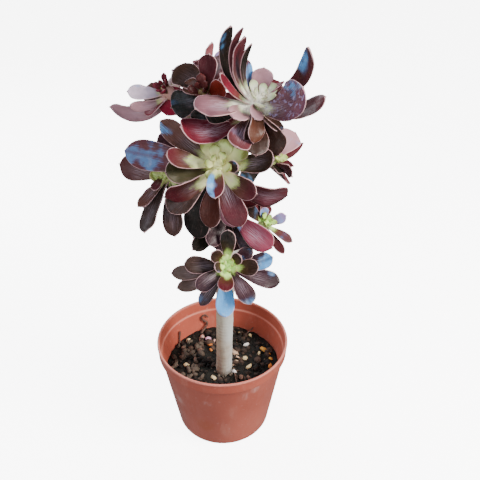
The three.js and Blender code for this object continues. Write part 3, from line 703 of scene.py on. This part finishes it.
# %% [markdown]
# ## The stem
# The stem is woody and pale, about 15 mm thick, and it forks under the leaves. Tubes drawn along the
# same routes as those of the plain model are melted together with a voxel remesh, which turns the
# forks into smooth crotches. Faint rings and scars show where old leaves fell.

# %% Stem routes
TRUNK = [
    (0.5, -12.5, 41, 5.6), (0.6, -12.5, 60, 7.2), (0.9, -12.5, 68, 7.4), (1.6, -12, 95, 7.3),
    (2.4, -11.5, 130, 7.6), (3.4, -9, 165, 7.8), (3.6, -5, 200, 7.6), (2, -1, 228, 7.0), (1, 1, 246, 6.2),
]
BRANCHES = {
    "top": [(2, -1, 226, 5.5), (10, 8, 258, 5.4), (20, 11, 288, 5.0)],
    "crown": [(1, 1, 240, 5.2), (-2, 16, 266, 4.8), (-3, 26, 290, 4.6)],
    "back": [(1, 1, 240, 4.6), (3, 22, 266, 4.2), (-2, 38, 292, 4.0)],
    "left": [(-1, 12, 256, 4.4), (-14, 30, 276, 4.0), (-24, 41, 292, 4.0)],
    "main": [(1, 1, 240, 5.4), (0.5, -2, 256, 5.2)],
    "flank": [(2, -1, 222, 4.8), (-14, 5, 236, 4.4), (-26, 9, 246, 4.0)],
    "hidden": [(3.6, -5, 208, 4.6), (5, -1, 219, 4.2)],
    "low": [(3.4, -10, 165, 4.4), (4.5, -17, 178, 4.0)],
    "side": [(3.6, -5, 184, 4.0), (16, 3, 195, 3.6), (24, 7, 203, 3.3)],
    "right": [(4, 0, 224, 4.6), (18, 20, 236, 4.2), (27, 30, 246, 4.0)],
}
STEM_SIDES = 24
STEM_VOXEL, STEM_SMOOTHINGS = 0.9, 4
STALK_CLEAR, STALK_SHARE = 5.0, 0.8


def smooth_route(points, per_span=6):
    """Catmull-Rom points through a list of (x, y, z, radius)."""
    route = []
    padded = [points[0]] + list(points) + [points[-1]]
    for a, b, c, d in zip(padded, padded[1:], padded[2:], padded[3:]):
        for k in range(per_span):
            t = k / per_span
            route.append(tuple(
                0.5 * (2 * q + (r - p) * t + (2 * p - 5 * q + 4 * r - s) * t * t
                       + (3 * q - p - 3 * r + s) * t ** 3)
                for p, q, r, s in zip(a, b, c, d)))
    route.append(tuple(points[-1]))
    return route


def sweep(made, route, sides):
    """A capped cylinder, cut into as many lengths as the route has spans, laid along the route."""
    spans = len(route) - 1
    rod = bmesh.new()
    bmesh.ops.create_cone(rod, cap_ends=True, segments=sides, radius1=1, radius2=1, depth=1)
    upright = [e for e in rod.edges if abs(e.verts[0].co.z - e.verts[1].co.z) > 0.5]
    bmesh.ops.subdivide_edges(rod, edges=upright, cuts=spans - 1, use_grid_fill=True)
    for v in rod.verts:
        i = round((v.co.z + 0.5) * spans)
        ahead = Vector(route[min(i + 1, spans)][:3])
        behind = Vector(route[max(i - 1, 0)][:3])
        along = (ahead - behind).normalized()
        side = Vector((0, 1, 0)).cross(along).normalized()
        front = along.cross(side)
        x, y, z, radius = route[i]
        v.co = (Vector((x, y, z)) + (side * v.co.x + front * v.co.y) * radius) * MM
    mesh = bpy.data.meshes.new("rod")
    rod.to_mesh(mesh)
    rod.free()
    before = len(made.verts)
    made.from_mesh(mesh)
    bpy.data.meshes.remove(mesh)
    made.verts.ensure_lookup_table()
    return made.verts[before:]


bm = bmesh.new()
sweep(bm, smooth_route(TRUNK), STEM_SIDES)
for name, branch in BRANCHES.items():
    head = HEADS[name]
    below = head["depth"] + CORE_DROP + GAP
    end = Vector(head["place"]) - head["axis"] * below
    before = Vector(head["place"]) - head["axis"] * (below + STALK_CLEAR)
    radius = head["core"] * STALK_SHARE
    sweep(bm, smooth_route([*branch, (*before, radius), (*end, radius)]), STEM_SIDES // 2)
bmesh.ops.recalc_face_normals(bm, faces=bm.faces)
stem = new_mesh("woody_stem", bm)
melt = stem.modifiers.new("melt", "REMESH")
melt.mode = "VOXEL"
melt.voxel_size = STEM_VOXEL * MM
melt.use_smooth_shade = True
apply_modifiers(stem)
bm = bmesh.new()
bm.from_mesh(stem.data)
for _ in range(STEM_SMOOTHINGS):
    bmesh.ops.smooth_vert(bm, verts=bm.verts, factor=0.5, use_axis_x=True, use_axis_y=True, use_axis_z=True)
bm.normal_update()
SCAR_PITCH, SCAR_WIDTH, SCAR_DEPTH, SCAR_WANDER = 5.5, 0.7, 0.16, 3
BARK_LUMPS = 0.28
for v in bm.verts:
    x, y, z = v.co / MM
    wander = noise.noise(Vector((x, y, z)) * 0.08) * SCAR_WANDER
    ring_mark = math.exp(-(((z + wander) % SCAR_PITCH - SCAR_PITCH / 2) / SCAR_WIDTH) ** 2)
    lumps = noise.fractal(Vector((x, y, z * 0.6)) * 0.22, 1.0, 2.0, 3)
    v.co += v.normal * MM * (BARK_LUMPS * lumps - SCAR_DEPTH * ring_mark)
bm.to_mesh(stem.data)
bm.free()
print("stem spans", [round(c, 3) for c in stem.bound_box[0]], "to", [round(c, 3) for c in stem.bound_box[6]])
stem.data.polygons.foreach_set("use_smooth", [True] * len(stem.data.polygons))
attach(stem, "root")
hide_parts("stem")
print("stem faces:", len(stem.data.polygons))

# %% [markdown]
# The bark is pale, streaky along the stem and ringed across it. Painted shade browns the left, away from
# the key light, and a cool painted light tints the right, towards it, in patches; soil clings to its foot.

# %% Stem finish
f = Finish("pale_bark")
streaks = f.noise(90.0, 5.0, 0.65, stretch=(1.0, 1.0, 0.3))
rings = f.noise(120.0, 3.0, 0.6, stretch=(0.12, 0.12, 5.0))
patches = f.noise(30.0, 3.0, 0.5)
colour = f.mix(f.ramp(streaks, 0.35, 0.68), srgb(166, 156, 136), srgb(208, 203, 186))
colour = f.tint(colour, f.ramp(rings, 0.48, 0.64), 0.45, srgb(132, 114, 92))
parts = f.node("ShaderNodeSeparateXYZ")
f.link(f.place, parts.inputs[0])
# Painted shade on the left side, away from the key light; painted light in cool patches on the right.
shaded = f.ramp(parts.outputs["X"], 3.5 * MM, -6.0 * MM)
colour = f.tint(colour, shaded, 0.4, srgb(150, 128, 100))
painted_light_right = f.ramp(parts.outputs["X"], -2.0 * MM, 7.0 * MM)
colour = f.tint(colour, painted_light_right, f.ramp(patches, 0.25, 0.6), srgb(186, 194, 192))
crust = f.plus(parts.outputs["Z"], f.times(f.minus(streaks, 0.5), 0.02))
crust = f.ramp(crust, (SOIL_TOP + 9) * MM, (SOIL_TOP + 3) * MM)
colour = f.tint(colour, crust, 0.75, srgb(92, 82, 70))
normal = f.bump(rings, 0.5, 0.0006)
normal = f.bump(streaks, 0.3, 0.0006, normal)
stem.data.materials.append(f.finish(colour, 0.72, normal, IOR=1.42))

# %% [markdown]
# Small dry things lie about on the soil. A curled root against the back wall, a stick, a twig and a
# stalk are rods laid along short routes. A papery husk, and a crust of grit round the foot of the stem,
# are lumps like the chips.

# %% Dry root, stick, husk and crust
DRY_RODS = {
    "curled_root": [(-22, 38.5, 61.5, 1.1), (-20.5, 41.5, 66, 1.1), (-16.2, 47.5, 68.5, 1.0),
                    (-15.2, 49.6, 72.2, 1.1), (-19, 49.4, 75.2, 1.0), (-20.2, 49.4, 79, 0.9),
                    (-17, 51, 80.6, 0.8), (-14, 51, 77.5, 0.7)],
    "dry_stick": [(-42, 26, 61, 0.8), (-42, 29.5, 68, 0.8), (-41.4, 32, 76, 0.9)],
    "thin_twig": [(21.5, 33.5, 61.5, 0.6), (24.5, 37, 67, 0.6), (28.5, 40.5, 68.5, 0.5),
                  (31, 42, 70.5, 0.4)],
    "seed_stalk": [(10.5, -17, 67.2, 0.9), (11.2, -22, 67.2, 0.8), (12, -28, 66.2, 0.7)],
}
bm = bmesh.new()
for points in DRY_RODS.values():
    sweep(bm, smooth_route(points), 8)
dry = new_mesh("dry_roots", bm)
f = Finish("dry_root")
mottled = f.noise(200.0, 3.0)
dry.data.materials.append(f.finish(f.mix(mottled, srgb(58, 38, 32), srgb(120, 92, 80)), 0.85, IOR=1.4))

HUSK = [(9.5, 13.5, 7.0), (11.5, 8.0, 8.0), (13.0, 2.5, 6.5), (10.0, -4.5, 4.6), (12.5, -1.5, 4.2)]
HUSK_FLAT, HUSK_LIFT, HUSK_LONG, HUSK_TONE = 0.3, 0.8, 1.2, srgb(190, 160, 134)
CRUST_LUMPS, CRUST_RADIUS, CRUST_SIZE = 12, 8.6, 3.4
CRUST_FLAT, CRUST_LIFT, CRUST_LONG, CRUST_TONE = 0.7, 0.7, 1.0, srgb(98, 86, 74)
# The golden angle's number is read as radians here: about 319 degrees a step, which also spreads them.
CRUST_TURN = GOLDEN
bm = bmesh.new()
bm.verts.layers.float_color.new("tone")
for x, y, size in HUSK:
    toned_lump(bm, HUSK_TONE, size, HUSK_FLAT, (x, y, soil_height(x, y) + HUSK_LIFT), HUSK_LONG)
for i in range(CRUST_LUMPS):
    turn = i * CRUST_TURN
    x = STEM_FOOT[0] + CRUST_RADIUS * math.cos(turn)
    y = STEM_FOOT[1] + CRUST_RADIUS * math.sin(turn)
    place = (x, y, soil_height(x, y) + CRUST_LIFT)
    toned_lump(bm, CRUST_TONE, CRUST_SIZE, CRUST_FLAT, place, CRUST_LONG)
husk = new_mesh("husk_and_crust", bm)
husk.data.materials.append(pale.data.materials[0])
for piece in (dry, husk):
    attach(piece, "root")
print("dry roots and twigs:", len(DRY_RODS), "faces:", len(dry.data.polygons))

# %% [markdown]
# ## The leaves
# One flat blade is the pattern for every leaf, with fewer faces for the young ones: a grid, extruded
# once for its thickness, with a middle line round the rim so that the edge is round. Its points are
# closer together towards the tip, where the outline turns.

# %% Blade pattern
ACROSS, ALONG = 12, 26
BUD_ACROSS, BUD_ALONG = 6, 12
NECK, WIDEST, CUP = 0.3, 0.75, 0.26
BASE_THICK, TIP_THICK, TIP_HALF = 3.2, 1.5, 0.5
RIM_ROUND = 0.3
TIP_POINT = 0.055
NO_MARGIN = 5.0


def leaf_width(s):
    """Half of the outline, from 0 to 1."""
    if s < WIDEST:
        return NECK + (1 - NECK) * math.sin(math.pi / 2 * s / WIDEST) ** 1.9
    return max(0.0, 1 - ((s - WIDEST) / (1 - WIDEST)) ** 2.2) ** 0.6


def blade_pattern(across, along):
    """A flat blade in (across, along, layer): across -1 to 1, along 0 to 1, layer 0 on top, -1 below."""
    made = bmesh.new()
    bmesh.ops.create_grid(made, x_segments=across, y_segments=along, size=1.0)
    for v in made.verts:
        s = (v.co.y + 1) / 2
        v.co.y = 1 - (1 - s) ** 1.5
    grown = bmesh.ops.extrude_face_region(made, geom=made.faces[:], use_keep_orig=True)["geom"]
    lower = [g for g in grown if isinstance(g, bmesh.types.BMVert)]
    bmesh.ops.translate(made, verts=lower, vec=(0, 0, -1))
    upright = [e for e in made.edges if abs(e.verts[0].co.z - e.verts[1].co.z) > 0.5]
    bmesh.ops.subdivide_edges(made, edges=upright, cuts=1)
    bmesh.ops.recalc_face_normals(made, faces=made.faces)
    mesh = bpy.data.meshes.new("blade_pattern")
    made.to_mesh(mesh)
    made.free()
    return mesh


LEAF_PATTERN = blade_pattern(ACROSS, ALONG)
BUD_PATTERN = blade_pattern(BUD_ACROSS, BUD_ALONG)
print("blade:", len(LEAF_PATTERN.polygons), "faces, bud:", len(BUD_PATTERN.polygons))

# %% [markdown]
# A leaf starts at the rosette's stalk and arches along its midrib, which is drawn in short straight
# steps. Leaves that stand up start near the tip, and flat ones lower down the stalk, as they grow.

# %% Midrib
MIDRIB_STEPS = 24
ROOT_RING = 0.55
UPRIGHT = 80


def midrib(head, azimuth, lift, length, bend, sweep):
    """Points, directions and face normals along a leaf's arched midrib."""
    axis = head["axis"]

    def out(s):
        angle = math.radians(azimuth + sweep * s)
        return head["right"] * math.cos(angle) + head["up"] * math.sin(angle)

    root = Vector(head["place"]) + out(0) * ROOT_RING * head["core"]
    point = root - axis * head["depth"] * (1 - lift / UPRIGHT)
    line = []
    for i in range(MIDRIB_STEPS + 1):
        here, radial = math.radians(lift + bend * i / MIDRIB_STEPS), out(i / MIDRIB_STEPS)
        along = radial * math.cos(here) + axis * math.sin(here)
        face = -radial * math.sin(here) + axis * math.cos(here)
        line.append((point.copy(), along, face))
        middle = math.radians(lift + bend * (i + 0.5) / MIDRIB_STEPS)
        radial = out((i + 0.5) / MIDRIB_STEPS)
        point += (radial * math.cos(middle) + axis * math.sin(middle)) * (length / MIDRIB_STEPS)
    return line


print("midrib:", MIDRIB_STEPS, "steps")

# %% [markdown]
# Each leaf is a copy of the flat blade, bent round its midrib by a formula: narrow at the neck, widest
# at three quarters, cupped across, a little wavy, and drawn out to a small point. Every point of it also
# carries how far along the leaf it is, how far from the margin, and the leaf's own colours, for the
# material to read.

# %% One leaf
WAVE, RIPPLE = 0.05, 0.018
# Where the painted sky sheen starts along a leaf, how far it fades in, and how softly it keeps to one side.
SHEEN_FROM, SHEEN_FADE, SHEEN_SOFT = 0.35, 0.22, 0.35
# How long the painted highlight streak along the midrib is.
SHINE_LENGTH = 0.2
LEAF_NUMBERS = ("along", "edge", "across", "length", "pale", "sky_sheen", "under", "crinkle", "shine")


def step(value, low, high):
    """Smooth step from 0 at low to 1 at high."""
    t = min(max((value - low) / (high - low), 0.0), 1.0)
    return t * t * (3 - 2 * t)


def leaf_point(u, s, layer, half, line, leaf, wobble):
    """Where a point of the flat blade goes on the bent leaf, in millimetres."""
    length, width, roll = leaf[2], leaf[3], leaf[5]
    k = min(int(s * MIDRIB_STEPS), MIDRIB_STEPS - 1)
    t = s * MIDRIB_STEPS - k
    point = line[k][0].lerp(line[k + 1][0], t)
    along = line[k][1].lerp(line[k + 1][1], t).normalized()
    face = line[k][2].lerp(line[k + 1][2], t).normalized()
    side = along.cross(face) * -1
    turn = Matrix.Rotation(math.radians(-roll), 3, along)
    side, face = turn @ side, turn @ face
    wave = noise.noise(Vector((s * 5, u * 1.2, 0)) + wobble) * WAVE * width * abs(u) ** 2
    ripple = noise.noise(Vector((s * 11, u * 3, 4)) + wobble) * RIPPLE * width
    raise_edge = CUP * half * abs(u) ** 1.7 * min(1.0, 3 * (1 - s)) + wave + ripple * min(1, 4 * s)
    thick = (BASE_THICK + (TIP_THICK - BASE_THICK) * s) / 2 * (1 - 0.6 * abs(u) ** 3)
    bulge = RIM_ROUND if -0.75 < layer < -0.25 else 0.0
    across = u * (half + bulge) if abs(u) > 0.99 else u * half
    if s > 0.999 and bulge:
        point = point + along * bulge
    point = point + along * TIP_POINT * width * max(0.0, 1 - 3 * abs(u)) * step(s, 0.9, 1.0)
    return point + side * across + face * (raise_edge + thick * (1 + 2 * layer))


def add_leaf(made, pattern, head, leaf, layers, seed, crinkle=0.0, shine=(0.0, 0.5), bare=False):
    """A leaf, bent into place. A bare one has no pale margin."""
    azimuth, lift, length, width, bend, _, sweep, tone, pale_reach, sky_sheen = leaf
    amount, sheen_from, sheen_side = sky_sheen if isinstance(sky_sheen, tuple) else (sky_sheen, SHEEN_FROM, 0)
    line = midrib(head, azimuth, lift, length, bend, sweep)
    wobble = Vector((seed * 7.3, seed * 3.1, seed * 5.7))
    before = len(made.verts)
    made.from_mesh(pattern)
    made.verts.ensure_lookup_table()
    for v in made.verts[before:]:
        u, s, layer = v.co
        s = min(max(s, 0.0), 1.0)
        half = max(width / 2 * leaf_width(s), TIP_HALF)
        v.co = leaf_point(u, s, layer, half, line, leaf, wobble) * MM
        # The painted sky sheen and the painted highlight streak, as amounts for the material to lay over the
        # colour.
        sheen_here = step(s, abs(sheen_from), abs(sheen_from) + SHEEN_FADE)
        sheen_here = amount * (sheen_here if sheen_from > 0 else 1 - sheen_here)
        streak = shine[0] * math.exp(-((s - shine[1]) / SHINE_LENGTH) ** 2) * (1 - abs(u)) ** 1.5
        numbers = {
            "along": s, "across": u * half, "length": length * s, "pale": pale_reach,
            "edge": NO_MARGIN if bare else min(half * (1 - abs(u)), (1 - s) * length),
            "sky_sheen": sheen_here * (step(sheen_side * u, -SHEEN_SOFT, SHEEN_SOFT) if sheen_side else 1.0),
            "under": 1.0 if layer < -0.75 else 0.0, "crinkle": crinkle, "shine": streak,
        }
        for key, value in numbers.items():
            v[layers[key]] = value
        v[layers["tone"]] = LEAF_TONES[tone]
        v[layers["heart"]] = HEARTS[head.get("heart", "lime")]


print("each point carries", LEAF_NUMBERS)

# %% [markdown]
# ### Leaf colours
# The tones are screen colours, named for what they look like on the plant. A rosette's heart colour
# fills the pale bases of its leaves. A soft streak of light along the midrib belongs to single leaves,
# which are counted from 0 in the order of the list above.

# %% Leaf tones and streaks
LEAF_TONES = {
    "wine": srgb(81, 24, 33), "brown": srgb(44, 25, 17), "black": srgb(18, 14, 9), "olive": srgb(21, 22, 15),
    "crimson": srgb(110, 21, 41), "red": srgb(120, 29, 15), "mauve": srgb(96, 48, 53),
    "pink": srgb(142, 83, 88), "blush": srgb(180, 136, 145), "tan": srgb(89, 53, 43),
    "lilac": srgb(148, 128, 176), "lime": srgb(190, 200, 102), "rust": srgb(64, 24, 15),
    "moss": srgb(57, 53, 29), "plum": srgb(46, 19, 29), "taupe": srgb(84, 62, 54),
    "umber": srgb(92, 38, 36), "grape": srgb(112, 68, 84), "pale_lilac": srgb(226, 206, 224),
    "rosewood": srgb(148, 58, 80), "coffee": srgb(42, 20, 9), "cherry": srgb(140, 22, 50),
    "dusty": srgb(132, 88, 98), "maroon_tan": srgb(79, 40, 38), "amber": srgb(79, 41, 24),
    "ivory": srgb(246, 240, 206),
}
HEARTS = {
    "lime": srgb(212, 222, 150), "cream": srgb(255, 253, 238), "bright": srgb(206, 242, 140),
    "yellow": srgb(240, 240, 176), "rosy": srgb(206, 156, 144), "dusk": srgb(112, 84, 44),
}
# The young leaves' tone and how far the heart colour reaches on them, where they aren't lime all over.
BUD_TONES = {"cream": ("ivory", 0.95), "rosy": ("crimson", 0.25), "dusk": ("umber", 0.1)}
# The blue of the painted sky reflection on the leaves.
PAINTED_SKY_SHEEN = srgb(94, 164, 226)
# For each leaf that has a painted highlight streak: how strong, and how far along the leaf.
SHINE = {
    "top": {2: (0.5, 0.4), 3: (0.3, 0.4), 9: (0.6, 0.3), 12: (0.8, 0.55), 13: (0.5, 0.4), 15: (1.0, 0.5),
            16: (0.9, 0.5)},
    "crown": {0: (0.5, 0.6), 1: (0.15, 0.5), 2: (0.15, 0.4)},
    "left": {0: (0.5, 0.5), 1: (0.5, 0.6), 2: (0.6, 0.5), 3: (0.7, 0.5)},
    "main": {0: (0.5, 0.4), 4: (0.6, 0.45), 5: (0.5, 0.45), 7: (1.0, 0.35), 8: (0.6, 0.3), 9: (0.5, 0.55),
             12: (0.4, 0.7)},
    "hidden": {0: (0.7, 0.6)},
    "flank": {0: (0.5, 0.5), 1: (0.4, 0.5), 3: (0.2, 0.7), 4: (0.2, 0.7)},
    "low": {5: (0.3, 0.5), 6: (0.4, 0.5), 7: (0.4, 0.5), 8: (0.4, 0.5), 9: (0.4, 0.6), 12: (0.4, 0.5),
            13: (0.3, 0.5)},
    "right": {0: (0.5, 0.5), 3: (0.5, 0.5)},
}
print(len(LEAF_TONES), "tones,", sum(len(s) for s in SHINE.values()), "streaks")

# %% [markdown]
# The young leaves close over the growing tip, each a golden angle on from the last, a little flatter and
# longer. The stalk that all the leaves grow from is a short rod in the middle.

# %% Young leaves and stalk
BUD_LIFT, BUD_FLATTER = 84, 5
BUD_LENGTH, BUD_LONGER = 5.5, 1.25
BUD_WIDTH, BUD_WIDER = 3.4, 0.6
BUD_BEND = -8
BUD_CORE = 6
STALK_SIDES = 16


def bud_leaves(head):
    """The young leaves, sized for a stalk of BUD_CORE and scaled to this one."""
    size = head["core"] / BUD_CORE
    tone, reach = BUD_TONES.get(head.get("heart"), ("lime", 0.95))
    for i in range(head["buds"]):
        length, width = (BUD_LENGTH + BUD_LONGER * i) * size, (BUD_WIDTH + BUD_WIDER * i) * size
        yield (i * GOLDEN, BUD_LIFT - BUD_FLATTER * i, length, width, BUD_BEND, 0, 0, tone, reach, 0.0)


def add_core(made, head, layers):
    """The short leafy stalk that the leaves grow from."""
    core, depth = head["core"], head["depth"]
    heights = [(-depth - CORE_DROP, 0.8), (-depth, 1.0), (-depth * 0.4, 0.9), (0.5, 0.45), (1.5, 0.05)]
    route = [(*(Vector(head["place"]) + head["axis"] * z), core * r) for z, r in heights]
    for v in sweep(made, route, STALK_SIDES):
        v[layers["edge"]] = NO_MARGIN
        v[layers["pale"]] = 1.0
        v[layers["tone"]] = LEAF_TONES["lime"]
        v[layers["heart"]] = HEARTS[head.get("heart", "lime")]


print("young leaves:", sum(head["buds"] for head in HEADS.values()))

# %% [markdown]
# With those in hand a rosette is its stalk, its listed leaves and its young ones, in one mesh.

# %% Growing the rosettes


def rosette(name, head):
    made = bmesh.new()
    layers = {key: made.verts.layers.float.new(key) for key in LEAF_NUMBERS}
    layers["tone"] = made.verts.layers.float_color.new("tone")
    layers["heart"] = made.verts.layers.float_color.new("heart")
    add_core(made, head, layers)
    for i, leaf in enumerate(head["leaves"]):
        crinkle = 1.0 if i == head.get("wrinkled") else 0.0
        shine = SHINE.get(name, {}).get(i, (0.0, 0.5))
        add_leaf(made, LEAF_PATTERN, head, leaf, layers, i + len(name) * 10, crinkle, shine)
    for i, leaf in enumerate(bud_leaves(head)):
        add_leaf(made, BUD_PATTERN, head, leaf, layers, 50 + i, bare=True)
    bmesh.ops.recalc_face_normals(made, faces=made.faces)
    piece = new_mesh(f"leaves_{name}", made)
    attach(piece, "root")
    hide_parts(f"rosette_{name}")
    return piece


rosettes = {name: rosette(name, head) for name, head in HEADS.items()}
print("leaf faces:", sum(len(r.data.polygons) for r in rosettes.values()))

# %% [markdown]
# ### Leaf finish
# The pale base reaches furthest along the midrib, and the blade is dark beyond it. Fine veins run
# lengthwise, the skin is mottled, and the margin is a thin pale line of tiny hairs. The sky sheen is a
# painted reflection: a whitish-blue sheen painted in patches on the upper face of some leaves. A pale
# streak along the midrib of single leaves, and the lilac on the creased leaf's fold crests, are painted
# highlights.

# %% Leaf finish
f = Finish("aeonium_leaf")
along, edge, across, down, reach, sky_sheen, under, crinkle, shine = (
    f.attribute(key, "Fac") for key in LEAF_NUMBERS)
combine = f.node("ShaderNodeCombineXYZ")
f.link(across, combine.inputs[0])
f.link(down, combine.inputs[1])
on_leaf = combine.outputs[0]
mottle = f.noise(120.0, 5.0, 0.65)
cloud = f.noise(38.0, 3.0, 0.55)
flecks = f.noise(520.0, 2.0, 0.6)
blots = f.noise(62.0, 2.0, 0.5)
veins = f.noise(1.0, 4.0, 0.65, place=on_leaf, stretch=(1.5, 0.07, 1.0))
folds = f.noise(1.0, 2.0, 0.5, place=on_leaf, stretch=(0.3, 0.22, 1.0))

tone = f.attribute("tone")
paler = f.mix(0.36, tone, srgb(190, 146, 140))
deeper = f.mix(0.6, tone, srgb(16, 12, 9))
dark = f.tint(tone, f.ramp(veins, 0.52, 0.74), 0.32, paler)
dark = f.tint(dark, f.ramp(mottle, 0.52, 0.78), 0.18, paler)
dark = f.tint(dark, f.ramp(flecks, 0.57, 0.75), 0.16, paler)
dark = f.tint(dark, f.ramp(cloud, 0.56, 0.36), 0.6, deeper)
zone = f.minus(1.0, f.ramp(f.minus(along, reach), 0.0, 0.38))
zone = f.times(zone, f.ramp(reach, 0.08, 0.3))
dark = f.tint(dark, zone, 0.5, srgb(74, 56, 30))
off_midrib = f.maths("ABSOLUTE", across, 0.0)
spread = f.plus(f.plus(along, f.times(off_midrib, 0.022)),
                 f.times(f.minus(mottle, 0.5), 0.3))
spread = f.plus(spread, f.times(f.minus(veins, 0.5), 0.3))
shade = f.ramp(f.minus(spread, reach), -0.1, 0.1)
heart = f.attribute("heart")
greener = f.mix(0.65, heart, srgb(166, 206, 88))
base = f.mix(f.ramp(f.maths("DIVIDE", along, reach), 0.5, 1.0), heart, greener)
base = f.tint(base, f.ramp(veins, 0.45, 0.75), 0.5, srgb(240, 236, 206))
colour = f.mix(shade, base, dark)
# Painted reflection: a whitish-blue sky sheen laid over the colour in patches on the upper face.
patches = f.plus(f.plus(blots, f.times(veins, 0.3)), f.times(sky_sheen, 0.2))
patches = f.times(f.ramp(patches, 0.72, 0.86), f.ramp(mottle, 0.22, 0.5))
painted_sheen = f.times(sky_sheen, patches)
painted_sheen = f.times(painted_sheen, f.plus(0.5, f.times(f.ramp(off_midrib, 0.0, 2.6), 0.5)))
painted_sheen = f.times(painted_sheen, f.minus(1.0, under))
sky = f.mix(f.ramp(mottle, 0.5, 0.85), PAINTED_SKY_SHEEN, srgb(186, 208, 240))
colour = f.mix(painted_sheen, colour, sky)
# Painted highlight: a pale streak along the midrib of single leaves.
streak = f.times(shine, f.ramp(veins, 0.38, 0.62))
colour = f.tint(colour, streak, 0.85, srgb(214, 194, 212))
# Painted highlight on the fold crests of the creased leaf; the same crests are also bumped.
crests = f.times(crinkle, f.ramp(folds, 0.52, 0.66))
colour = f.tint(colour, crests, 0.7, srgb(168, 150, 190))
margin = f.times(f.ramp(edge, 0.26, 0.06), f.ramp(mottle, 0.25, 0.5))
margin = f.times(margin, f.ramp(reach, 0.9, 0.7))
colour = f.tint(colour, margin, 0.7, srgb(222, 180, 182))
normal = f.bump(veins, 0.3, 0.0007)
normal = f.bump(mottle, 0.2, 0.0005, normal)
normal = f.bump(crests, 0.6, 0.0015, normal)
leaf_material = f.finish(colour, f.ramp(mottle, -1.0, 2.2), normal, IOR=1.4, Specular_IOR_Level=0.3,
                         Coat_Weight=0.06, Coat_Roughness=0.18)
for piece in rosettes.values():
    piece.data.materials.append(leaf_material)
